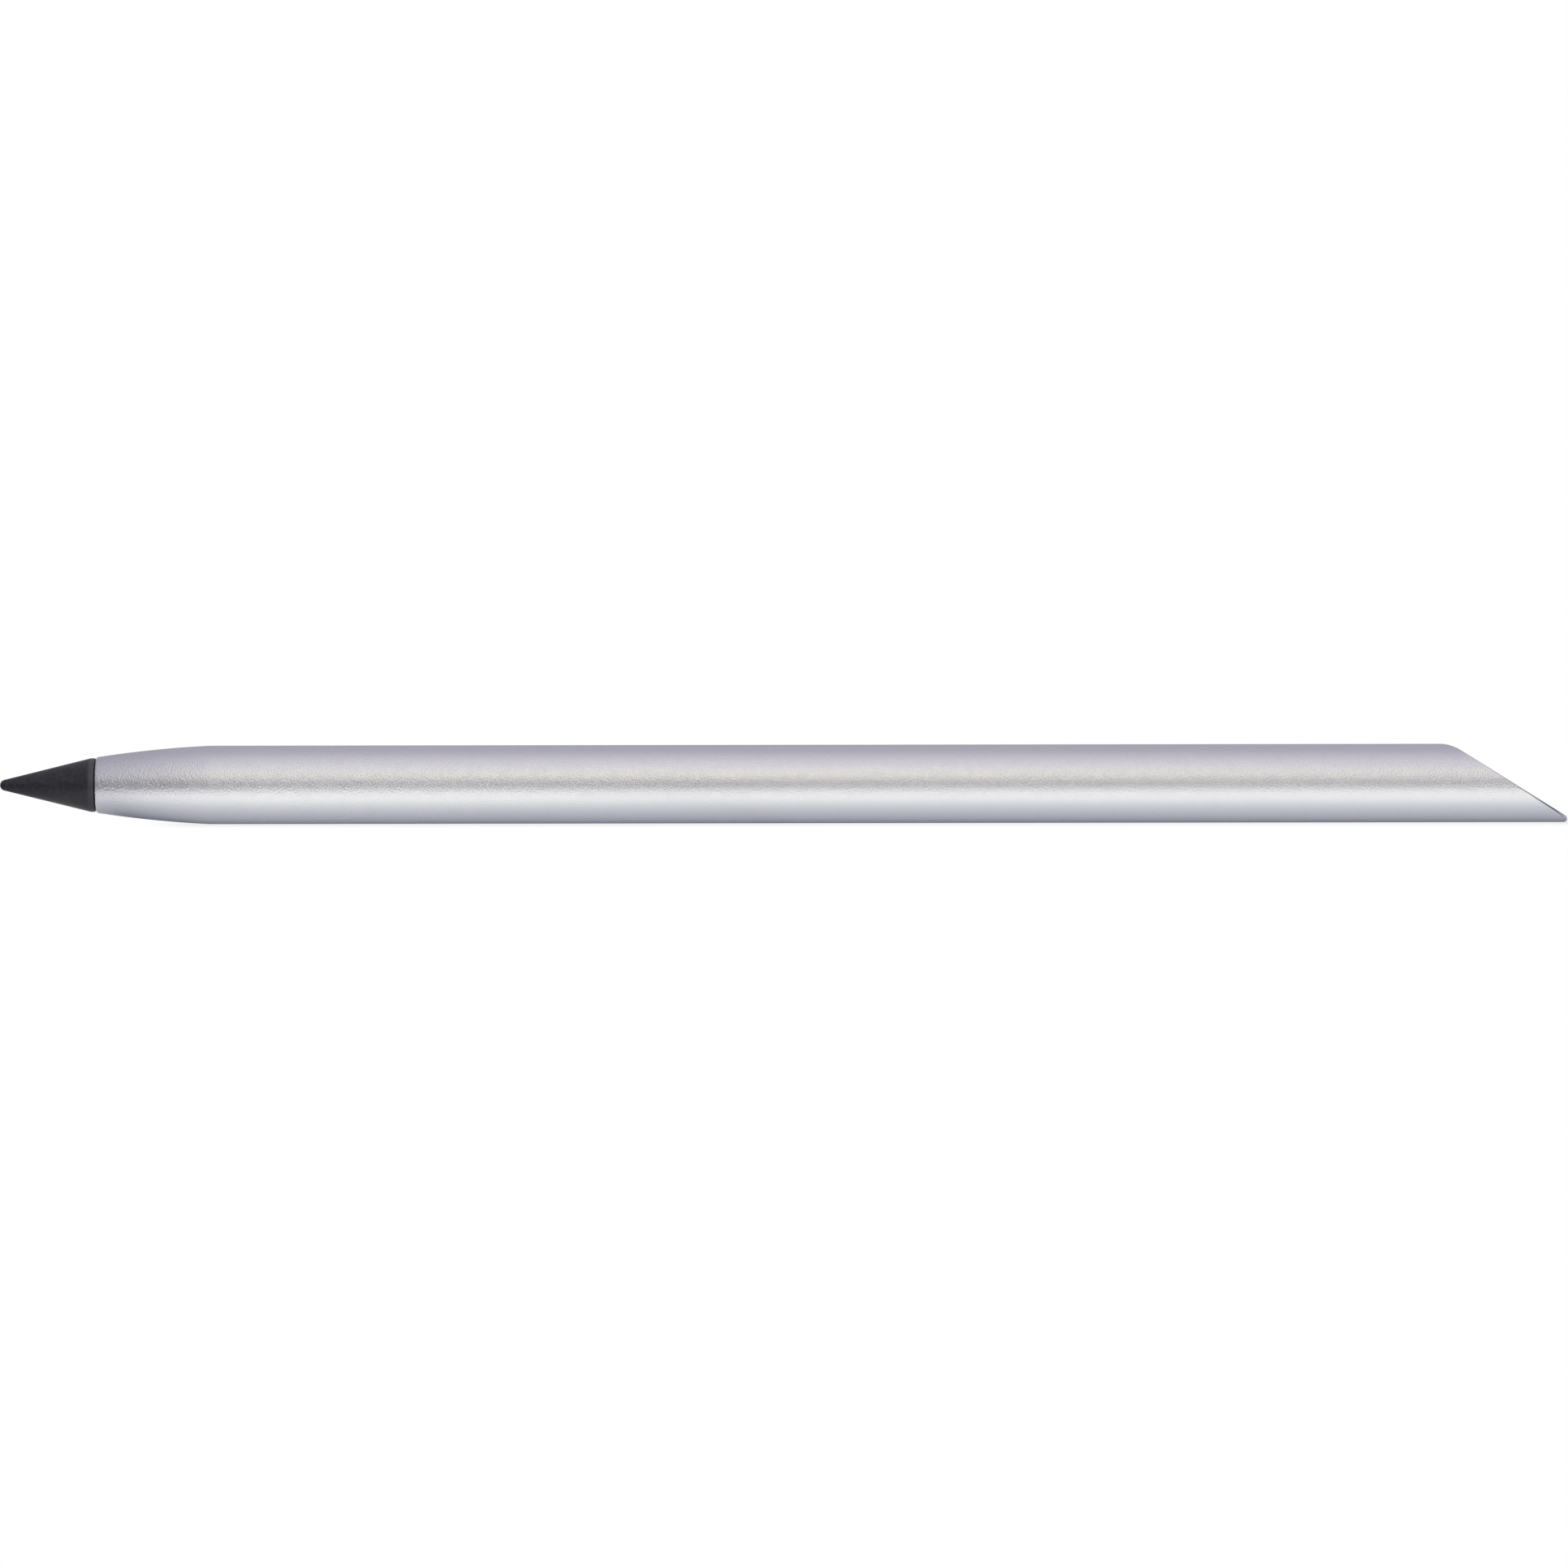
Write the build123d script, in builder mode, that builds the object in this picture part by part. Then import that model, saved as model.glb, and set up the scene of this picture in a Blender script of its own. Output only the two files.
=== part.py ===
from build123d import *
import os
from math import asin, atan2, ceil, cos, hypot, pi, radians, sin, tan

# An inkless metal pencil. It lies along X, nib at the low end of X, with the long side of its slanted
# rear cut underneath. It rests on Z = 0, and the origin is below the middle of its length.
# Every section is drawn on one plane through the pencil's axis, where across is the distance from the
# nib's tip and up is the distance from the axis. Sizes are in millimetres and degrees.

# Overall
overall_length = 156.0
barrel_diameter = 7.8
barrel_wall = 0.7

# Nose of the barrel, drawn down from the tube
mouth_diameter = 5.52
mouth_wall = 0.61
mouth_edge_radius = 0.3
nose_length = 11.3
nose_bulge = 0.15
nose_corner_radius = 20.0

# Slanted rear cut, with a crowned upper end and a rounded rim
cut_angle = 32.0
cut_rim_radius = 0.25
cut_rim_share = 0.9
cut_inner_rim_radius = 0.1
crown_radius = 5.6
crown_angle = 9.0

# Nib
nib_length = 9.5
nib_tip_radius = 0.55
nib_land_length = 0.45
nib_edge_radius = 0.8
nib_back_edge_radius = 0.08
nib_step = 0.09
nib_gap = 0.08

# Thread between nib and barrel
thread_diameter = 3.0
thread_pitch = 0.5
thread_turns = 8
thread_depth = 0.29
thread_crest_width = 0.0625
thread_clearance = 0.04
flank_angle = 30.0
flank_steps = 4

# Stud: shank bonded into the nib, neck, thread and plain end
shank_depth = 4.5
shank_shoulder = 0.14
shank_groove_count = 3
shank_groove_depth = 0.12
shank_groove_width = 0.4
bond_gap = 0.02
neck_undercut = 0.03
stud_end_length = 0.5
stud_end_chamfer = 0.2

# Pilot at the back of the nib, and the rubber ring behind it
pilot_length = 0.5
pilot_clearance = 0.08
ring_clearance = 0.05

# Bush seated in the nose
bush_fit = 0.04
bush_setback = 0.2
bush_chamfer = 0.3
bush_counterbore_depth = 0.3
bush_thread_relief = 0.1
bush_thread_spare = 1.2
tap_over_run = 0.4

# Radii
barrel_radius = barrel_diameter / 2
bore_radius = barrel_radius - barrel_wall
mouth_radius = mouth_diameter / 2
mouth_bore_radius = mouth_radius - mouth_wall
nib_base_radius = mouth_radius - nib_step
pilot_radius = mouth_bore_radius - pilot_clearance
stud_crest_radius = thread_diameter / 2 - thread_clearance
stud_core_radius = stud_crest_radius - thread_depth
neck_radius = stud_core_radius - neck_undercut
shank_radius = neck_radius - shank_shoulder
bush_root_radius = thread_diameter / 2 + thread_clearance
bush_relief_radius = bush_root_radius + bush_thread_relief
ring_section = mouth_bore_radius - neck_radius - 2 * ring_clearance

# Places along the pencil, counted from the nib's tip
shank_start = nib_length - shank_depth
mouth_start = nib_length + nib_gap
nose_end = mouth_start + nose_length
pilot_end = nib_length + pilot_length
bush_start = pilot_end + ring_section + 2 * ring_clearance
bush_end = nose_end - bush_setback
thread_start = bush_start + bush_counterbore_depth
thread_end = thread_start + thread_turns * thread_pitch
bush_thread_end = thread_end + bush_thread_spare
stud_end = thread_end + stud_end_length

pencil_axis = Axis((-overall_length / 2, 0, barrel_radius), (1, 0, 0))
side_plane = Plane(pencil_axis.position, x_dir=(1, 0, 0), z_dir=(0, -1, 0))


def thread_plane(turn):
    """The plane across the pencil at this turn of the thread, turned to where the crest is there."""
    angle = turn * 2 * pi
    origin = side_plane.from_local_coords((thread_start + turn * thread_pitch, 0, 0))
    return Plane(origin, x_dir=(0, cos(angle), sin(angle)), z_dir=(1, 0, 0))


def thread_point(radius, turn):
    """A point of the thread's outline across the pencil, this share of a turn from the crest."""
    return (radius * cos(turn * 2 * pi), radius * sin(turn * 2 * pi))


def thread_length(first_turn, turns, crest_radius):
    """A short length of threaded rod: the outline across it, twisted once for every pitch."""
    crest_half = thread_crest_width / 2 / thread_pitch
    flank = thread_depth * tan(radians(flank_angle)) / thread_pitch
    falling = [
        thread_point(
            crest_radius - thread_depth * step / flank_steps,
            crest_half + flank * step / flank_steps,
        )
        for step in range(flank_steps + 1)
    ]
    rising = [(across, -up) for across, up in reversed(falling)]
    plane = thread_plane(first_turn)
    with BuildSketch(plane) as outline:
        with BuildLine():
            ThreePointArc(rising[-1], thread_point(crest_radius, 0), falling[0])
            Spline(*falling)
            ThreePointArc(falling[-1], thread_point(crest_radius - thread_depth, 0.5), rising[0])
            Spline(*rising)
        make_face()
    run = Vector(turns * thread_pitch, 0, 0)
    return Solid.extrude_linear_with_rotation(outline.sketch.face(), plane.origin, run, turns * 360)


def threaded_rod(first_turn, last_turn, crest_radius):
    """A right-hand threaded rod, joined from lengths of a turn or less."""
    turns = last_turn - first_turn
    lengths = ceil(turns)
    share = turns / lengths
    with BuildPart() as rod:
        joined = [thread_length(first_turn + share * step, share, crest_radius) for step in range(lengths)]
        add(joined, clean=False)
    return rod.part


def off_axis(point):
    """How far a point lies from the pencil's axis."""
    return hypot(point.Y, point.Z - barrel_radius)


def edges_at(edges, radius):
    """The edges that run on a cylinder of this radius about the pencil's axis."""
    near = barrel_wall / 100
    places = (0.1, 0.4, 0.6, 0.9)
    return edges.filter_by(lambda edge: all(abs(off_axis(edge @ place) - radius) < near for place in places))


# Rear cut, seen from the side: a straight slant, and a crown that joins it to the top of the barrel.
# The rim's rounding brings the lower end of the slant back to the overall length.
cut_slope = tan(radians(cut_angle))
half_slope = tan(radians(cut_angle / 2))
rim_room = half_slope * (barrel_wall / sin(radians(cut_angle)) - cut_inner_rim_radius * half_slope)
rim_radius = min(cut_rim_radius, cut_rim_share * rim_room)
slant_foot = overall_length + rim_radius / half_slope - rim_radius
crown_height = barrel_radius - crown_radius * cos(radians(crown_angle))
crown_end_up = crown_height + crown_radius * cos(radians(cut_angle))
crown_end_across = slant_foot - (crown_end_up + barrel_radius) / cut_slope
crown_middle = crown_end_across - crown_radius * sin(radians(cut_angle))


def crown_point(angle):
    """The point of the crown where it slopes down by this angle."""
    across = crown_middle + crown_radius * sin(radians(angle))
    up = crown_height + crown_radius * cos(radians(angle))
    return (across, up)


# Barrel: one tube, its nose drawn down to the mouth, its rear cut off at a slant
with BuildPart() as barrel_tube:
    blank_end = slant_foot + barrel_diameter
    with BuildSketch(side_plane) as wall_section:
        with BuildLine():
            Line((mouth_start, mouth_bore_radius), (mouth_start, mouth_radius))
            SagittaArc((mouth_start, mouth_radius), (nose_end, barrel_radius), nose_bulge)
            Polyline(
                (nose_end, barrel_radius),
                (blank_end, barrel_radius),
                (blank_end, bore_radius),
                (nose_end, bore_radius),
                (bush_start, mouth_bore_radius),
                (mouth_start, mouth_bore_radius),
            )
        make_face()
        mouth_edge = wall_section.vertices().sort_by_distance((mouth_start, mouth_radius))[0]
        fillet(mouth_edge, mouth_edge_radius)
        nose_corner = wall_section.vertices().sort_by_distance((nose_end, barrel_radius))[0]
        fillet(nose_corner, nose_corner_radius)
    revolve(axis=pencil_axis)
    with BuildSketch(side_plane):
        over_top = 2 * barrel_radius
        crown_start = crown_point(crown_angle)
        lead_in = (crown_start[0] - barrel_radius / tan(radians(crown_angle)), over_top)
        with BuildLine():
            Line(lead_in, crown_start)
            ThreePointArc(crown_start, crown_point((crown_angle + cut_angle) / 2), crown_point(cut_angle))
            Polyline(
                crown_point(cut_angle),
                (slant_foot + barrel_radius / cut_slope, -over_top),
                (blank_end + barrel_radius, -over_top),
                (blank_end + barrel_radius, over_top),
                lead_in,
            )
        make_face()
    extrude(amount=barrel_diameter, both=True, mode=Mode.SUBTRACT)
    rims = barrel_tube.edges(Select.LAST)
    inner_rim = edges_at(rims, bore_radius)
    fillet(edges_at(rims, barrel_radius), rim_radius)
    fillet(inner_rim, cut_inner_rim_radius)
barrel_tube.part.label = "barrel_tube"

# Bush: a plug wedged in the tapered nose, tapped from the front, with a relief behind the thread
bush_taper = (bore_radius - mouth_bore_radius) / (nose_end - bush_start)
bush_back_radius = mouth_bore_radius - bush_fit + bush_taper * (bush_end - bush_chamfer - bush_start)
tap_turns = thread_turns + bush_thread_spare / thread_pitch
tap = threaded_rod(-tap_over_run, tap_turns + tap_over_run, bush_root_radius)
with BuildPart() as nose_bush:
    with BuildSketch(side_plane):
        with BuildLine():
            Polyline(
                (thread_start, 0),
                (thread_start, bush_relief_radius),
                (bush_start, bush_relief_radius),
                (bush_start, mouth_bore_radius - bush_fit),
                (bush_end - bush_chamfer, bush_back_radius),
                (bush_end, bush_back_radius - bush_chamfer),
                (bush_end, bush_relief_radius),
                (bush_thread_end, bush_relief_radius),
                (bush_thread_end, 0),
                close=True,
            )
        make_face()
    revolve(axis=pencil_axis)
    add(tap, clean=False, mode=Mode.SUBTRACT)
nose_bush.part.label = "nose_bush"

# Stud: its grooved shank is bonded into the nib, its neck carries the ring, its thread fits the bush
stud_thread = threaded_rod(0, thread_turns, stud_crest_radius)
with BuildPart() as nib_stud:
    with BuildSketch(side_plane):
        with BuildLine():
            Polyline(
                (shank_start, 0),
                (shank_start, shank_radius),
                (pilot_end, shank_radius),
                (pilot_end, neck_radius),
                (thread_start, neck_radius),
                (thread_start, 0),
                close=True,
            )
        make_face()
        with BuildLine():
            Polyline(
                (thread_end, 0),
                (thread_end, neck_radius),
                (stud_end - stud_end_chamfer, neck_radius),
                (stud_end, neck_radius - stud_end_chamfer),
                (stud_end, 0),
                close=True,
            )
        make_face()
    revolve(axis=pencil_axis)
    add(stud_thread, clean=False)
    groove_step = shank_depth / (shank_groove_count + 1)
    with BuildSketch(side_plane):
        for groove in range(shank_groove_count):
            with Locations((shank_start + groove_step * (groove + 1), shank_radius)):
                Rectangle(shank_groove_width, 2 * shank_groove_depth)
    revolve(axis=pencil_axis, mode=Mode.SUBTRACT)
nib_stud.part.label = "nib_stud"

# Nib: a cone with a ball tip and a short land, and a pilot behind it that centres it in the mouth
land_start = nib_length - nib_land_length
cone_reach = hypot(land_start - nib_tip_radius, nib_base_radius)
cone_angle = atan2(nib_base_radius, land_start - nib_tip_radius) - asin(nib_tip_radius / cone_reach)
tip_bend = pi / 4 - cone_angle / 2
tip_middle = (nib_tip_radius * (1 - cos(tip_bend)), nib_tip_radius * sin(tip_bend))
cone_start = (nib_tip_radius * (1 - sin(cone_angle)), nib_tip_radius * cos(cone_angle))
socket_radius = shank_radius + bond_gap
with BuildPart() as nib_point:
    with BuildSketch(side_plane) as nib_section:
        with BuildLine():
            ThreePointArc((0, 0), tip_middle, cone_start)
            Polyline(
                cone_start,
                (land_start, nib_base_radius),
                (nib_length, nib_base_radius),
                (nib_length, pilot_radius),
                (pilot_end, pilot_radius),
                (pilot_end, socket_radius),
                (shank_start - bond_gap, socket_radius),
                (shank_start - bond_gap, 0),
                (0, 0),
            )
        make_face()
        land_edge = nib_section.vertices().sort_by_distance((land_start, nib_base_radius))[0]
        fillet(land_edge, nib_edge_radius)
        back_edge = nib_section.vertices().sort_by_distance((nib_length, nib_base_radius))[0]
        fillet(back_edge, nib_back_edge_radius)
    revolve(axis=pencil_axis)
nib_point.part.label = "nib_point"

# Ring: rubber, round in section, on the stud's neck between the nib's pilot and the bush
with BuildPart() as nib_ring:
    with BuildSketch(side_plane):
        with Locations((pilot_end + ring_clearance + ring_section / 2, (neck_radius + mouth_bore_radius) / 2)):
            Circle(ring_section / 2)
    revolve(axis=pencil_axis)
nib_ring.part.label = "nib_ring"

os.makedirs("parts", exist_ok=True)
export_step(barrel_tube.part, "parts/barrel_tube.step")
export_step(nose_bush.part, "parts/nose_bush.step")
export_step(nib_stud.part, "parts/nib_stud.step")
export_step(nib_point.part, "parts/nib_point.step")
export_step(nib_ring.part, "parts/nib_ring.step")
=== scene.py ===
from math import acos, asin, atan2, cos, hypot, pi, radians, sin, sqrt, tan

import bmesh
import bpy
from mathutils import Matrix, Vector


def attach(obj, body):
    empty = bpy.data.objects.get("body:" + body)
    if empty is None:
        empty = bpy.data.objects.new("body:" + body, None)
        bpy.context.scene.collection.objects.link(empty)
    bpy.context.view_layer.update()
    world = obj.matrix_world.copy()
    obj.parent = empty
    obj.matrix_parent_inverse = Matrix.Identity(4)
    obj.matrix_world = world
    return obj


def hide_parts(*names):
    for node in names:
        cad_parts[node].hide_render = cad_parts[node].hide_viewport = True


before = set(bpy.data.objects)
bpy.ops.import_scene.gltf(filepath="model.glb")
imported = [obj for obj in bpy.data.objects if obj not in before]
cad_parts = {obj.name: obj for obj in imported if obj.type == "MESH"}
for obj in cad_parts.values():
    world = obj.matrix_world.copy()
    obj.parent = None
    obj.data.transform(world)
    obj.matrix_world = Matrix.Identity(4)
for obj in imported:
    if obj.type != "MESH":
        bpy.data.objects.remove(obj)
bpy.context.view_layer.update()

# An inkless metal pencil, lying along X with its nib at the low end of X and its slanted rear end
# facing up and back. In the outlines, along is the distance from the nib's tip, out is the distance
# from the pencil's axis, and sizes are in millimetres and degrees. Stage sizes are in metres.
mm = 0.001

# Barrel, and its nose drawn down from the tube
overall_length = 156.0
barrel_diameter = 7.8
barrel_wall = 0.7
mouth_diameter = 5.52
mouth_wall = 0.61
mouth_edge_radius = 0.3
nose_length = 11.3
nose_bulge = 0.15
nose_corner_radius = 20.0

# Slanted rear cut, its crowned upper end and its rounded rims
cut_angle = 32.0
rim_radius = 0.36
fine_rim_radius = 0.1
fine_rim_end = 130.0
tip_shortfall = 0.1
inner_rim_radius = 0.1
crown_radius = 5.6
crown_angle = 9.0

# Nib, its step in from the mouth, its gap in front of the mouth, and its pilot inside the mouth
nib_length = 9.5
nib_tip_radius = 0.55
nib_land_length = 0.45
nib_edge_radius = 0.8
nib_back_edge_radius = 0.08
nib_step = 0.09
nib_gap = 0.08
pilot_length = 0.5
pilot_clearance = 0.08

# Stud: its neck, which carries the rubber ring, and its shank, bonded into the nib
neck_radius = 1.14
ring_clearance = 0.05
shank_shoulder = 0.14
shank_depth = 4.5
bond_gap = 0.02

# Fineness of the meshes. Points a support gap from a rounding keep the shading beside it flat.
round_steps = 288
mouth_edge_steps = 10
nose_steps = 30
nose_corner_steps = 6
straight_steps = 24
rim_steps = 12
face_steps = 4
inner_rim_steps = 6
bore_steps = 24
tip_steps = 14
cone_steps = 20
land_steps = 8
back_edge_steps = 6
ring_steps = 36
weld_distance = 0.0001
sharp_angle = 28.0
support_gap = 0.06

# Noise: layers of detail, from plain to rich, and the range in which most of its values lie
plain = 1.0
soft = 2.0
mixed = 3.0
rich = 4.0
richest = 5.0
noise_low = 0.3
noise_high = 0.7

# Bead-blasted barrel, with a coarser finish and painted shade (a slightly darker tint) at the mouth,
# both fading out past the nose
blasted_colours = ((0.90, 0.897, 0.90), (0.94, 0.937, 0.94))
blasted_mottle_grain = 1.6
blasted_roughness = (0.33, 0.39)
blasted_patch_grain = 0.9
blasted_swell_grain = 4.0
blasted_swell_depth = 0.006
blasted_fine_grain = 0.14
blasted_fine_depth = 0.032
blasted_pebble_grain = 0.17
blasted_pebble_depth = 0.05
nose_finish_and_shade_length = 16.5
nose_painted_shade_tint = (0.88, 0.88, 0.89)
nose_fine_strength = 0.3
barrel_pebble_strength = 0.1

# Machined rear rim, with painted shade on the outer edge of its low lip: a dark, dull colour there. The
# lip's lengths are counted forward from the rear end and its depths inward from the barrel's outside.
rim_colours = ((0.80, 0.80, 0.81), (0.88, 0.88, 0.885))
rim_roughness = (0.26, 0.34)
rim_patch_grain = 0.4
rim_line_grain = 0.12
rim_line_stretch = (1.0, 0.2, 1.0)
rim_line_depth = 0.004
unshaded_specular = 0.5
# Painted shade: the outer edge of the low lip takes this dark colour and loses its metal shine
lip_painted_shade_colour = (0.38, 0.36, 0.395)
lip_length = 4.8
lip_full_length = 2.6
lip_fade_length = 1.5
lip_clear_length = 0.5
lip_depth = 0.4
lip_full_depth = 0.28

# Drawn bore
bore_colours = ((0.52, 0.52, 0.53), (0.68, 0.68, 0.69))
bore_roughness = (0.42, 0.56)
bore_line_grain = 0.3
bore_line_stretch = (0.02, 1.0, 1.0)
bore_line_depth = 0.02

# Charcoal nib, with a painted highlight, a paler colour, on its land; the highlight's lengths are counted
# forward from the nib's back
nib_colours = ((0.020, 0.0185, 0.023), (0.058, 0.054, 0.062))
nib_mottle_grain = 0.4
nib_roughness = (0.36, 0.46)
nib_refraction = 1.5
nib_speck_grain = 0.16
nib_speck_depth = 0.012
nib_line_grain = 0.11
nib_line_stretch = (1.0, 0.02, 0.02)
nib_line_depth = 0.008
land_painted_highlight_colour = (0.15, 0.142, 0.142)
land_highlight_length = 0.7
land_highlight_full_length = 0.4
land_highlight_share = 0.6

# Black rubber
rubber_colours = ((0.010, 0.010, 0.010), (0.022, 0.022, 0.022))
rubber_roughness = (0.55, 0.72)
rubber_grain = 0.3
rubber_depth = 0.01

# Cut threads of the steel stud and the brass bush
steel_colours = ((0.50, 0.50, 0.51), (0.62, 0.62, 0.63))
brass_colours = ((0.62, 0.45, 0.19), (0.76, 0.58, 0.28))
thread_roughness = (0.26, 0.4)
thread_stain_grain = 1.2
thread_line_grain = 0.05
thread_line_stretch = (1.0, 0.05, 0.05)
thread_line_depth = 0.004

# Floor, card behind and flag in front. Where metal mirrors the floor, its contact shade and its white
# start below these places along the pencil, in millimetres: mirrored_contact_start, mirrored_reach_start.
white = (1.0, 1.0, 1.0)
matte_roughness = 0.9
floor_half_width = 6.0
floor_colour = (0.46, 0.47, 0.56)
# Painted contact shade: near the pencil the floor's white is cut back by distance from a line below it
contact_start = 0.0005
contact_end = 0.007
contact_white = 0.14
# Painted tint: the cool colour of the contact shade where metal mirrors it
painted_contact_tint = (0.85, 0.89, 1.0)
shadow_white = 0.8
mirrored_contact_start = 12.5
mirrored_reach_start = 32.0
mirrored_floor_start = 0.02
mirrored_floor_end = 0.04
card_distance = 3.0
card_half_width = 0.4
card_height = 0.25
flag_start = -0.5
flag_end = -0.16
flag_distance = 0.69
flag_height = 0.19
flag_colour = (0.01, 0.01, 0.01)

# Light
panel_distance = 0.7
panel_width = 0.46
front_panel_rises = (13.0, 47.0)
front_panel_light = (0.62, 0.585, 0.455)
high_panel_rises = (47.0, 72.0)
high_panel_light = (0.40, 0.38, 0.35)
top_panel_rises = (72.0, 100.0)
top_panel_light = (0.19, 0.186, 0.205)
room_colour = (0.41, 0.408, 0.475)
horizon_colour = (0.25, 0.25, 0.265)
horizon_end = 0.35

# Camera; its sensor is in millimetres
camera_distance = 0.8
camera_rise = 3.35
camera_tilt = 0.09
camera_reach = 100.0
sensor_width = 36.0

# Radii and other distances from the axis
barrel_radius = barrel_diameter / 2
bore_radius = barrel_radius - barrel_wall
mouth_radius = mouth_diameter / 2
mouth_bore_radius = mouth_radius - mouth_wall
nib_base_radius = mouth_radius - nib_step
nib_pilot_radius = mouth_bore_radius - pilot_clearance
nib_socket_radius = neck_radius - shank_shoulder + bond_gap
ring_middle_out = (mouth_bore_radius + neck_radius) / 2
ring_section_radius = (mouth_bore_radius - neck_radius) / 2 - ring_clearance
lip_out_start = barrel_radius - lip_depth
lip_out_full = barrel_radius - lip_full_depth

# Places along the pencil
mouth_start = nib_length + nib_gap
nose_end = mouth_start + nose_length
nose_finish_and_shade_end = nib_length + nose_finish_and_shade_length
nib_pilot_end = nib_length + pilot_length
nib_socket_end = nib_length - shank_depth - bond_gap
land_highlight_start = nib_length - land_highlight_length
land_highlight_full = nib_length - land_highlight_full_length
ring_middle_along = nib_pilot_end + ring_clearance + ring_section_radius
inner_taper_start = ring_middle_along + ring_section_radius + ring_clearance
lip_start = overall_length - lip_length
lip_full_start = overall_length - lip_full_length
lip_full_end = overall_length - lip_fade_length
lip_end = overall_length - lip_clear_length


def spread(start, end, steps):
    """Even steps from start to end, both included."""
    return [start + (end - start) * step / steps for step in range(steps + 1)]


def arc(centre, radius, start, end, steps):
    """Points (along, out) on an arc. Its angles are in radians, from straight out towards the rear."""
    along, out = centre
    return [(along + radius * sin(lean), out + radius * cos(lean)) for lean in spread(start, end, steps)]


def turned(point, angle):
    """A point (along, out) turned about the pencil's axis, as (along, side, up)."""
    along, out = point
    return (along, -out * sin(angle), out * cos(angle))


def frame_x(along):
    """A place along the pencil as X in the shared frame, in metres."""
    return (along - overall_length / 2) * mm


def in_frame(point):
    """A point (along, side, up) in the shared frame, in metres."""
    along, side, up = point
    return (frame_x(along), side * mm, (barrel_radius + up) * mm)


def skin(name, outline_at, closed, finishes=None):
    """A mesh swept round the axis from the outline at each angle.

    finishes gives the number of the material for each step of the outline.
    """
    outlines = [outline_at(2 * pi * step / round_steps) for step in range(round_steps)]
    count = len(outlines[0])
    points = [in_frame(point) for outline in outlines for point in outline]
    steps = count if closed else count - 1
    faces = []
    for turn in range(round_steps):
        here = turn * count
        there = (turn + 1) % round_steps * count
        for step in range(steps):
            after = (step + 1) % count
            faces.append((here + step, here + after, there + after, there + step))
    mesh = bpy.data.meshes.new(name)
    mesh.from_pydata(points, [], faces)
    if finishes:
        mesh.polygons.foreach_set("material_index", finishes * round_steps)
    shell = bmesh.new()
    shell.from_mesh(mesh)
    bmesh.ops.remove_doubles(shell, verts=shell.verts, dist=weld_distance * mm)
    bmesh.ops.recalc_face_normals(shell, faces=shell.faces)
    shell.to_mesh(mesh)
    shell.free()
    mesh.shade_smooth()
    mesh.set_sharp_from_angle(angle=radians(sharp_angle))
    piece = bpy.data.objects.new(name, mesh)
    bpy.context.collection.objects.link(piece)
    return piece


# Barrel outline in front of the straight stretch: mouth face, rounded mouth edge, bulging nose, soft corner
nose_run = nose_end - mouth_start
nose_rise = barrel_radius - mouth_radius
nose_chord = hypot(nose_run, nose_rise)
nose_radius = nose_chord**2 / (8 * nose_bulge) + nose_bulge / 2
nose_drop = (nose_radius - nose_bulge) / nose_chord
nose_centre = (
    (mouth_start + nose_end) / 2 + nose_drop * nose_rise,
    (mouth_radius + barrel_radius) / 2 - nose_drop * nose_run,
)


def nose_fillet(radius, along=None, out=None):
    """The centre of a rounding inside the nose's arc, at a given place along or out, and its lean there."""
    reach = nose_radius - radius
    if along is None:
        along = nose_centre[0] - sqrt(reach**2 - (out - nose_centre[1]) ** 2)
    else:
        out = nose_centre[1] + sqrt(reach**2 - (along - nose_centre[0]) ** 2)
    return (along, out), atan2(along - nose_centre[0], out - nose_centre[1])


edge_centre, edge_lean = nose_fillet(mouth_edge_radius, along=mouth_start + mouth_edge_radius)
corner_centre, corner_lean = nose_fillet(nose_corner_radius, out=barrel_radius - nose_corner_radius)
front_outline = (
    [(mouth_start, mouth_bore_radius), (mouth_start, mouth_bore_radius + support_gap)]
    + arc(edge_centre, mouth_edge_radius, -pi / 2, edge_lean, mouth_edge_steps)
    + arc(nose_centre, nose_radius, edge_lean, corner_lean, nose_steps)[1:]
    + arc(corner_centre, nose_corner_radius, corner_lean, 0, nose_corner_steps)[1:]
)
straight_start = front_outline[-1][0]

# Rear cut, seen from the side: a straight slant and a crown that joins it to the top of the barrel
slope = radians(cut_angle)
slant_foot = overall_length - tip_shortfall + rim_radius / tan(slope / 2) - rim_radius
crown_height = barrel_radius - crown_radius * cos(radians(crown_angle))
crown_end_up = crown_height + crown_radius * cos(slope)
crown_end_along = slant_foot - (crown_end_up + barrel_radius) / tan(slope)
crown_middle = crown_end_along - crown_radius * sin(slope)


def cut_at(up, inset):
    """Where the rear cut, moved inwards by inset, lies at this height, and its lean there."""
    radius = crown_radius - inset
    if up <= crown_height + radius * cos(slope):
        return slant_foot - (up + barrel_radius) / tan(slope) - inset / sin(slope), slope
    lean = acos((up - crown_height) / radius)
    return crown_middle + radius * sin(lean), lean


def rim_at(angle):
    """The rim's radius at this angle from the top: fine above and at the sides, growing to the low tip."""
    growth_start = radians(fine_rim_end)
    share = max((min(angle, 2 * pi - angle) - growth_start) / (pi - growth_start), 0)
    eased = share * share * (3 - 2 * share)
    return fine_rim_radius + (rim_radius - fine_rim_radius) * eased


def rolled(centre, radius, first, last, steps):
    """Points on a rounding about centre, from one unit direction to another by the short way."""
    bend = acos(sum(one * other for one, other in zip(first, last)))
    points = []
    for share in spread(0, 1, steps):
        start = radius * sin((1 - share) * bend) / sin(bend)
        end = radius * sin(share * bend) / sin(bend)
        parts = zip(centre, first, last)
        points.append(tuple(middle + start * one + end * other for middle, one, other in parts))
    return points


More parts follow.
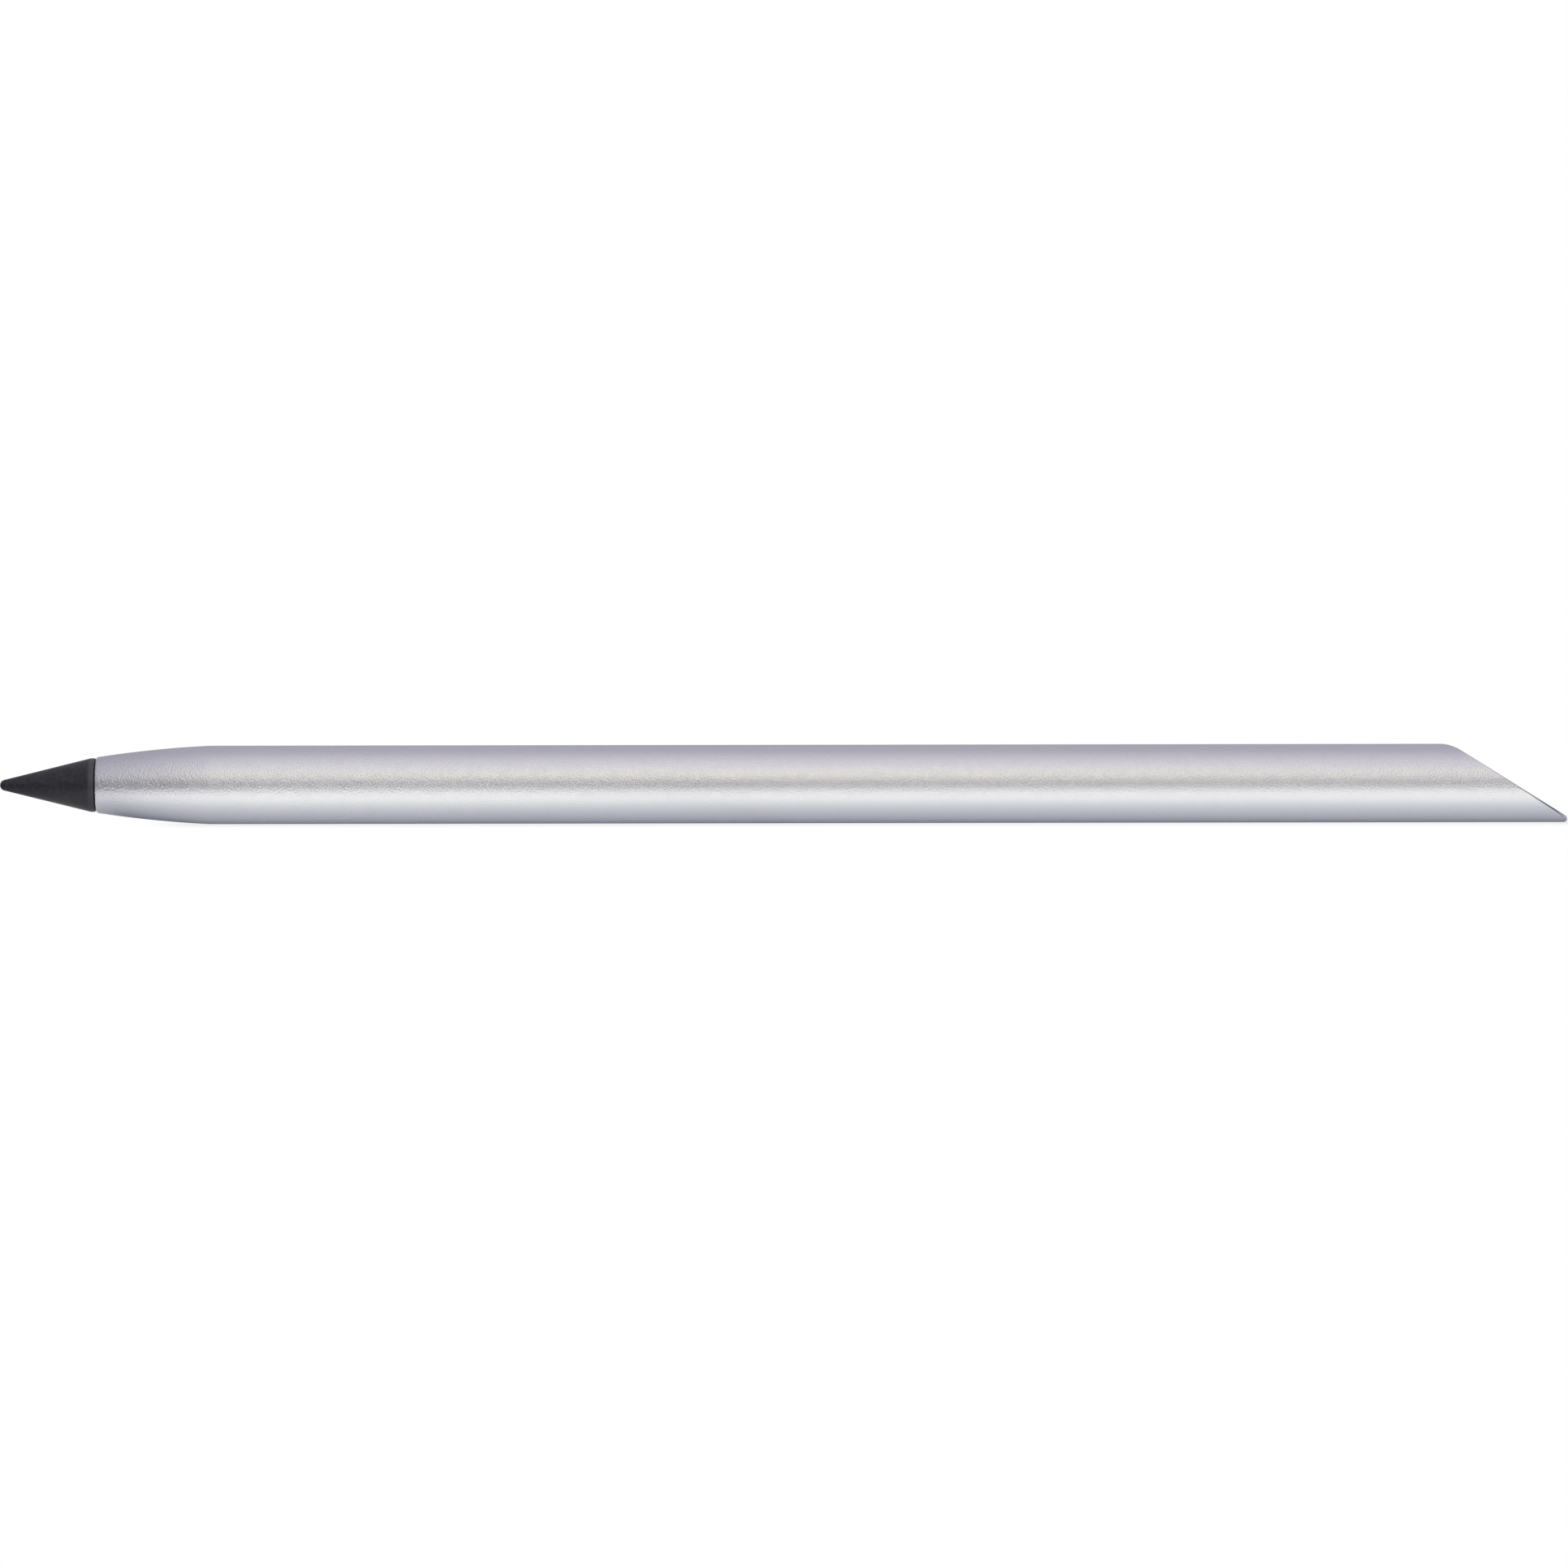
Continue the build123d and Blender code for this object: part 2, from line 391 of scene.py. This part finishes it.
def barrel_outline(angle):
    """The barrel's closed outline at this angle: nose, straight, rim, cut face, inner rim, bore, taper."""
    outward = (0, -sin(angle), cos(angle))
    inward = (0, sin(angle), -cos(angle))
    radius = rim_at(angle)
    rim_out = barrel_radius - radius
    rim_along, lean = cut_at(rim_out * cos(angle), radius)
    facing = (sin(lean), 0, cos(lean))
    rim = rolled(turned((rim_along, rim_out), angle), radius, outward, facing, rim_steps)
    inner_out = bore_radius + inner_rim_radius
    inner_along, inner_lean = cut_at(inner_out * cos(angle), inner_rim_radius)
    inner_facing = (sin(inner_lean), 0, cos(inner_lean))
    inner_middle = turned((inner_along, inner_out), angle)
    inner_rim = rolled(inner_middle, inner_rim_radius, inner_facing, inward, inner_rim_steps)
    cut_face = []
    for share in spread(0, 1, face_steps)[1:-1]:
        side = rim[-1][1] + (inner_rim[0][1] - rim[-1][1]) * share
        up = rim[-1][2] + (inner_rim[0][2] - rim[-1][2]) * share
        cut_face.append((cut_at(up, 0)[0], side, up))
    straight_places = spread(straight_start + support_gap, rim_along - support_gap, straight_steps)
    straight = [(along, barrel_radius) for along in straight_places]
    bore_places = spread(inner_along - support_gap, nose_end + support_gap, bore_steps)
    bore = [(along, bore_radius) for along in bore_places]
    back = [(nose_end, bore_radius), (inner_taper_start, mouth_bore_radius)]
    front = [turned(point, angle) for point in front_outline + straight]
    return front + rim + cut_face + inner_rim + [turned(point, angle) for point in bore + back]


# Materials 0, 1 and 2 of the barrel: its outside, its rim, and its bore with the taper and mouth behind it
outer_total = len(front_outline) + straight_steps + 1
rim_total = rim_steps + face_steps + inner_rim_steps
bore_total = len(barrel_outline(0)) - outer_total - rim_total
barrel_finishes = [0] * outer_total + [1] * rim_total + [2] * bore_total
barrel = skin("pencil_barrel", barrel_outline, True, barrel_finishes)

# Nib: ball tip, cone, softened land, back face, pilot and the socket for its stud
land_start = nib_length - nib_land_length
cone_reach = hypot(land_start - nib_tip_radius, nib_base_radius)
cone_angle = atan2(nib_base_radius, land_start - nib_tip_radius) - asin(nib_tip_radius / cone_reach)
land_middle = (land_start + nib_edge_radius * tan(cone_angle / 2), nib_base_radius - nib_edge_radius)
back_middle = (nib_length - nib_back_edge_radius, nib_base_radius - nib_back_edge_radius)
tip_arc = arc((nib_tip_radius, 0), nib_tip_radius, -pi / 2, -cone_angle, tip_steps)
land_arc = arc(land_middle, nib_edge_radius, -cone_angle, 0, land_steps)
cone_line = [
    tuple(start + (end - start) * share for start, end in zip(tip_arc[-1], land_arc[0]))
    for share in spread(0, 1, cone_steps)[1:-1]
]
nib_line = (
    tip_arc
    + cone_line
    + land_arc
    + arc(back_middle, nib_back_edge_radius, 0, pi / 2, back_edge_steps)
    + [
        (nib_length, nib_pilot_radius),
        (nib_pilot_end, nib_pilot_radius),
        (nib_pilot_end, nib_socket_radius),
        (nib_socket_end, nib_socket_radius),
        (nib_socket_end, 0),
    ]
)
nib = skin("pencil_nib", lambda angle: [turned(point, angle) for point in nib_line], False)

# Rubber ring, round in section
ring_line = arc((ring_middle_along, ring_middle_out), ring_section_radius, 0, 2 * pi, ring_steps)[:-1]
ring = skin("nib_seal", lambda angle: [turned(point, angle) for point in ring_line], True)


def fill(tree, made, inputs):
    """Sets a node's inputs to plain values or to other nodes' outputs."""
    for name, value in inputs.items():
        if isinstance(value, bpy.types.NodeSocket):
            tree.links.new(value, made.inputs[name])
        else:
            made.inputs[name].default_value = value


def node(tree, kind, inputs=None, **settings):
    """A new shader node with its settings and inputs."""
    made = tree.nodes.new(kind)
    for name, value in settings.items():
        setattr(made, name, value)
    fill(tree, made, inputs or {})
    return made


def new_material(name, inputs):
    """A new material, with plain values on its shader, and its node tree, shader and object coordinates."""
    made = bpy.data.materials.new(name)
    made.use_nodes = True
    tree = made.node_tree
    shader = tree.nodes["Principled BSDF"]
    fill(tree, shader, inputs)
    return made, tree, shader, node(tree, "ShaderNodeTexCoord").outputs["Object"]


def parts_of(tree, vector):
    """A vector's parts, by the names X, Y and Z."""
    return node(tree, "ShaderNodeSeparateXYZ", {"Vector": vector}).outputs


def noise(tree, place, grain, detail, stretch=None):
    """Noise whose features are about grain millimetres wide, drawn out along some axes by stretch."""
    if stretch:
        place = node(tree, "ShaderNodeMapping", {"Vector": place, "Scale": stretch}).outputs["Vector"]
    inputs = {"Vector": place, "Scale": 1 / (grain * mm), "Detail": detail}
    return node(tree, "ShaderNodeTexNoise", inputs).outputs["Fac"]


def between(tree, value, low, high, out_low, out_high):
    """Carries a value from one range to another, and holds it there."""
    inputs = {"Value": value, "From Min": low, "From Max": high, "To Min": out_low, "To Max": out_high}
    return node(tree, "ShaderNodeMapRange", inputs).outputs["Result"]


def uneven(tree, value, limits):
    """Carries noise from its usual range to these limits."""
    return between(tree, value, noise_low, noise_high, *limits)


def blend(tree, value, first, last):
    """A colour between two plain ones, by a value."""
    ramp = node(tree, "ShaderNodeValToRGB", {"Fac": value})
    ramp.color_ramp.elements[0].color = (*first, 1)
    ramp.color_ramp.elements[1].color = (*last, 1)
    return ramp.outputs["Color"]


def colour_mix(tree, share, first, last, way="MIX"):
    """This share of the last colour laid over the first, or multiplied with it."""
    share_socket, first_socket, last_socket, colour_socket = 0, 6, 7, 2
    inputs = {share_socket: share, first_socket: first, last_socket: last}
    return node(tree, "ShaderNodeMix", inputs, data_type="RGBA", blend_type=way).outputs[colour_socket]


def reckon(tree, operation, first, second=0.0):
    """One step of arithmetic on two values."""
    return node(tree, "ShaderNodeMath", {0: first, 1: second}, operation=operation).outputs[0]


def length_of(tree, first, second):
    """The length of a step with these two parts at right angles."""
    step = node(tree, "ShaderNodeCombineXYZ", {"X": first, "Y": second}).outputs["Vector"]
    return node(tree, "ShaderNodeVectorMath", {0: step}, operation="LENGTH").outputs["Value"]


def bump(tree, height, depth, strength=1.0, under=None):
    """A bump of this depth in millimetres, laid over another where one is given."""
    inputs = {"Height": height, "Distance": depth * mm, "Strength": strength}
    if under:
        inputs["Normal"] = under
    return node(tree, "ShaderNodeBump", inputs).outputs["Normal"]


def blasted_aluminium():
    """Bead-blasted, clear-anodised aluminium: satin, finely pebbled; the nose coarser, with painted shade.
    """
    made, tree, shader, place = new_material("blasted_aluminium", {"Metallic": 1.0})
    along = parts_of(tree, place)["X"]
    nose = between(tree, along, frame_x(nib_length), frame_x(nose_finish_and_shade_end), 1.0, 0.0)
    colour = blend(tree, noise(tree, place, blasted_mottle_grain, richest), *blasted_colours)
    # Painted shade: the nose's colour is multiplied by a darker tint
    colour = colour_mix(tree, 1.0, colour, blend(tree, nose, white, nose_painted_shade_tint), "MULTIPLY")
    swell = bump(tree, noise(tree, place, blasted_swell_grain, soft), blasted_swell_depth)
    fine_strength = between(tree, nose, 0.0, 1.0, 1.0, nose_fine_strength)
    fine_noise = noise(tree, place, blasted_fine_grain, plain)
    fine = bump(tree, fine_noise, blasted_fine_depth, fine_strength, swell)
    pebble_strength = between(tree, nose, 0.0, 1.0, barrel_pebble_strength, 1.0)
    pebble_noise = noise(tree, place, blasted_pebble_grain, plain)
    pebble = bump(tree, pebble_noise, blasted_pebble_depth, pebble_strength, fine)
    roughness = uneven(tree, noise(tree, place, blasted_patch_grain, rich), blasted_roughness)
    fill(tree, shader, {"Base Color": colour, "Roughness": roughness, "Normal": pebble})
    return made


def painted_lip_shade(tree, place):
    """How near a place is to the painted shade on the outer edge of the rear end's low lip, from 0 to 1."""
    parts = parts_of(tree, place)
    rising = between(tree, parts["X"], frame_x(lip_start), frame_x(lip_full_start), 0.0, 1.0)
    falling = between(tree, parts["X"], frame_x(lip_full_end), frame_x(lip_end), 1.0, 0.0)
    out = length_of(tree, parts["Y"], reckon(tree, "SUBTRACT", parts["Z"], barrel_radius * mm))
    outer = between(tree, out, lip_out_start * mm, lip_out_full * mm, 0.0, 1.0)
    return reckon(tree, "MULTIPLY", outer, reckon(tree, "MINIMUM", rising, falling))


def machined_aluminium():
    """The rear rim: machined, smoother than the barrel, with fine tool lines and painted shade, dull and
    dark, on its low lip.
    """
    made, tree, shader, place = new_material("machined_aluminium", {})
    lines = noise(tree, place, rim_line_grain, soft, rim_line_stretch)
    # Painted shade: dark, not metallic and without specular on the low lip's outer edge
    dark = painted_lip_shade(tree, place)
    unshaded = reckon(tree, "SUBTRACT", 1.0, dark)
    colour = colour_mix(tree, dark, blend(tree, lines, *rim_colours), (*lip_painted_shade_colour, 1))
    roughness = uneven(tree, noise(tree, place, rim_patch_grain, mixed), rim_roughness)
    specular = reckon(tree, "MULTIPLY", unshaded, unshaded_specular)
    normal = bump(tree, lines, rim_line_depth)
    fill(tree, shader, {"Base Color": colour, "Roughness": roughness, "Normal": normal})
    fill(tree, shader, {"Metallic": unshaded, "Specular IOR Level": specular})
    return made


def drawn_aluminium():
    """The inside of the tube: duller, with the long lines that drawing leaves."""
    made, tree, shader, place = new_material("drawn_aluminium", {"Metallic": 1.0})
    lines = noise(tree, place, bore_line_grain, rich, bore_line_stretch)
    colour = blend(tree, lines, *bore_colours)
    roughness = uneven(tree, lines, bore_roughness)
    normal = bump(tree, lines, bore_line_depth)
    fill(tree, shader, {"Base Color": colour, "Roughness": roughness, "Normal": normal})
    return made


def graphite():
    """The charcoal nib: matte and finely mottled, with faint turning lines and a painted highlight on its
    land.
    """
    made, tree, shader, place = new_material("graphite_alloy", {"Metallic": 0.0, "IOR": nib_refraction})
    along = parts_of(tree, place)["X"]
    mottle = uneven(tree, noise(tree, place, nib_mottle_grain, rich), (0.0, 1.0))
    # Painted highlight: the land is blended towards a paler colour
    land_highlight = between(tree, along, frame_x(land_highlight_start), frame_x(land_highlight_full), 0.0, land_highlight_share)
    colour = colour_mix(tree, land_highlight, blend(tree, mottle, *nib_colours), (*land_painted_highlight_colour, 1))
    roughness = between(tree, mottle, 0.0, 1.0, *nib_roughness)
    specks = bump(tree, noise(tree, place, nib_speck_grain, mixed), nib_speck_depth)
    lines = noise(tree, place, nib_line_grain, soft, nib_line_stretch)
    normal = bump(tree, lines, nib_line_depth, under=specks)
    fill(tree, shader, {"Base Color": colour, "Roughness": roughness, "Normal": normal})
    return made


def rubber():
    """The black sealing ring."""
    made, tree, shader, place = new_material("black_rubber", {"Metallic": 0.0})
    mottle = noise(tree, place, rubber_grain, rich)
    colour = blend(tree, mottle, *rubber_colours)
    roughness = uneven(tree, mottle, rubber_roughness)
    normal = bump(tree, mottle, rubber_depth)
    fill(tree, shader, {"Base Color": colour, "Roughness": roughness, "Normal": normal})
    return made


def cut_metal(name, colours):
    """A cut metal thread: fine turning lines round the axis and a little staining."""
    made, tree, shader, place = new_material(name, {"Metallic": 1.0})
    stain = noise(tree, place, thread_stain_grain, rich)
    lines = noise(tree, place, thread_line_grain, soft, thread_line_stretch)
    colour = blend(tree, stain, *colours)
    roughness = uneven(tree, stain, thread_roughness)
    normal = bump(tree, lines, thread_line_depth)
    fill(tree, shader, {"Base Color": colour, "Roughness": roughness, "Normal": normal})
    return made


def dress(piece, *materials):
    """Gives a piece these materials and no others, and keeps the material of each face."""
    if piece.data.materials:
        piece.data.materials.clear()
    for made in materials:
        piece.data.materials.append(made)


# Pieces: what each wears, stands for, moves with and takes its finish from
dress(barrel, blasted_aluminium(), machined_aluminium(), drawn_aluminium())
dress(nib, graphite())
dress(ring, rubber())
dress(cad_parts["nib_stud"], cut_metal("stud_steel_look", steel_colours))
dress(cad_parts["nose_bush"], cut_metal("bush_brass_look", brass_colours))
for piece, cad_node, body, finish in (
    (barrel, "barrel_tube", "barrel", "satin_aluminium"),
    (nib, "nib_point", "nib", "nib_graphite_alloy"),
    (ring, "nib_ring", "ring", "ring_rubber"),
):
    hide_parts(cad_node)
    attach(piece, body)


def sheet(name, corners, made):
    """A flat stage piece from its corners."""
    mesh = bpy.data.meshes.new(name)
    mesh.from_pydata(corners, [], [tuple(range(len(corners)))])
    mesh.materials.append(made)
    piece = bpy.data.objects.new(name, mesh)
    bpy.context.collection.objects.link(piece)
    return piece


def upright(start, end, back, height):
    """The corners of an upright rectangle between two places in X, this far back in Y."""
    return [(start, back, 0), (end, back, 0), (end, back, height), (start, back, height)]


def away_from_line(tree, parts, first):
    """How far a place on the floor is from a line below the pencil's axis.

    The line runs from this place along the pencil to its rear end.
    """
    middle = first / 2 * mm
    half = (overall_length - first) / 2 * mm
    beside = reckon(tree, "ABSOLUTE", reckon(tree, "SUBTRACT", parts["X"], middle))
    beyond = reckon(tree, "MAXIMUM", reckon(tree, "SUBTRACT", beside, half), 0.0)
    return length_of(tree, beyond, parts["Y"])


def white_stage(name, colour, below_pencil=False):
    """Matte that reads as white where it is seen directly, in metal or through glass.

    The floor's white is cut back close to the pencil: painted contact shade over the lamps' own shadow,
    tinted cool in metal. Metal sees its plain colour far from it.
    """
    plain_inputs = {"Base Color": (*colour, 1), "Roughness": matte_roughness, "Specular IOR Level": 0.0}
    made, tree, shader, place = new_material(name, plain_inputs)
    glow = node(tree, "ShaderNodeEmission", {"Color": (*white, 1), "Strength": 1.0})
    path = node(tree, "ShaderNodeLightPath").outputs
    direct = path["Is Camera Ray"]
    mirrored = reckon(tree, "MAXIMUM", path["Is Glossy Ray"], path["Is Transmission Ray"])
    if below_pencil:
        parts = parts_of(tree, place)
        away = away_from_line(tree, parts, nose_end)
        # Painted contact shade: white cut back by distance from the line below the pencil
        shadow = between(tree, away, contact_start, contact_end, shadow_white, 1.0)
        direct = reckon(tree, "MULTIPLY", direct, shadow)
        away = away_from_line(tree, parts, mirrored_contact_start)
        shade = between(tree, away, contact_start, contact_end, contact_white, 1.0)
        away = away_from_line(tree, parts, mirrored_reach_start)
        reach = between(tree, away, mirrored_floor_start, mirrored_floor_end, 1.0, 0.0)
        mirrored = reckon(tree, "MULTIPLY", mirrored, reckon(tree, "MULTIPLY", shade, reach))
        # Painted tint: the contact shade turns cool where metal mirrors it
        cool = reckon(tree, "MULTIPLY", reckon(tree, "SUBTRACT", 1.0, shade), path["Is Glossy Ray"])
        fill(tree, glow, {"Color": blend(tree, cool, white, painted_contact_tint)})
    share = reckon(tree, "MAXIMUM", direct, mirrored)
    surfaces = {0: share, 1: shader.outputs["BSDF"], 2: glow.outputs["Emission"]}
    mix = node(tree, "ShaderNodeMixShader", surfaces)
    tree.links.new(mix.outputs["Shader"], tree.nodes["Material Output"].inputs["Surface"])
    return made


# Stage: a wide pale floor and a small white card far behind
near, far = -floor_half_width, floor_half_width
floor_corners = [(near, near, 0), (far, near, 0), (far, far, 0), (near, far, 0)]
sheet("floor", floor_corners, white_stage("floor_white", floor_colour, True))
card_corners = upright(-card_half_width, card_half_width, card_distance, card_height)
sheet("card", card_corners, white_stage("card_white", floor_colour))

# A low dark flag to the left in front, out of view, which the nose mirrors
flag_inputs = {"Base Color": (*flag_colour, 1), "Roughness": matte_roughness}
flag_black = new_material("flag_black", flag_inputs)[0]
flag = sheet("flag", upright(flag_start, flag_end, -flag_distance, flag_height), flag_black)
flag.visible_camera = False

# Light: three soft panels in an arch from the front to overhead, warm to cool, and a cool room
aim = Vector((0, 0, barrel_radius * mm))


def panel(name, rises, light):
    """A soft rectangular lamp square to the pencil, between two angles of rise, with this radiance."""
    low, high = (radians(rise) for rise in rises)
    height = 2 * panel_distance * tan((high - low) / 2)
    direction = Vector((0, -cos((low + high) / 2), sin((low + high) / 2)))
    lamp = bpy.data.lights.new(name, "AREA")
    lamp.shape = "RECTANGLE"
    lamp.size = panel_width
    lamp.size_y = height
    lamp.energy = max(light) * pi * panel_width * height
    lamp.color = [value / max(light) for value in light]
    made = bpy.data.objects.new(name, lamp)
    made.location = aim + direction * panel_distance
    made.rotation_euler = direction.to_track_quat("Z", "Y").to_euler()
    bpy.context.collection.objects.link(made)


panel("front_panel", front_panel_rises, front_panel_light)
panel("high_panel", high_panel_rises, high_panel_light)
panel("top_panel", top_panel_rises, top_panel_light)

world = bpy.data.worlds.new("room")
bpy.context.scene.world = world
world.use_nodes = True
sky = world.node_tree
height = parts_of(sky, node(sky, "ShaderNodeTexCoord").outputs["Generated"])["Z"]
risen = between(sky, height, 0.0, horizon_end, 0.0, 1.0)
fill(sky, sky.nodes["Background"], {"Color": blend(sky, risen, horizon_colour, room_colour)})

# Camera: five lengths off, square to the pencil, and just high enough to look along the slanted cut
lens = bpy.data.cameras.new("photo_camera")
lens.sensor_width = sensor_width
lens.lens = sensor_width * camera_distance / (overall_length * mm)
lens.clip_end = camera_reach
camera = bpy.data.objects.new("photo_camera", lens)
view = Vector((0, -cos(radians(camera_rise)), sin(radians(camera_rise))))
stand = Matrix.Translation(aim + view * camera_distance)
facing = view.to_track_quat("Z", "Y").to_matrix().to_4x4()
tilt = Matrix.Rotation(radians(-camera_tilt), 4, "Z")
camera.matrix_world = stand @ facing @ tilt
bpy.context.collection.objects.link(camera)
bpy.context.scene.camera = camera
bpy.context.scene.view_settings.view_transform = "Standard"
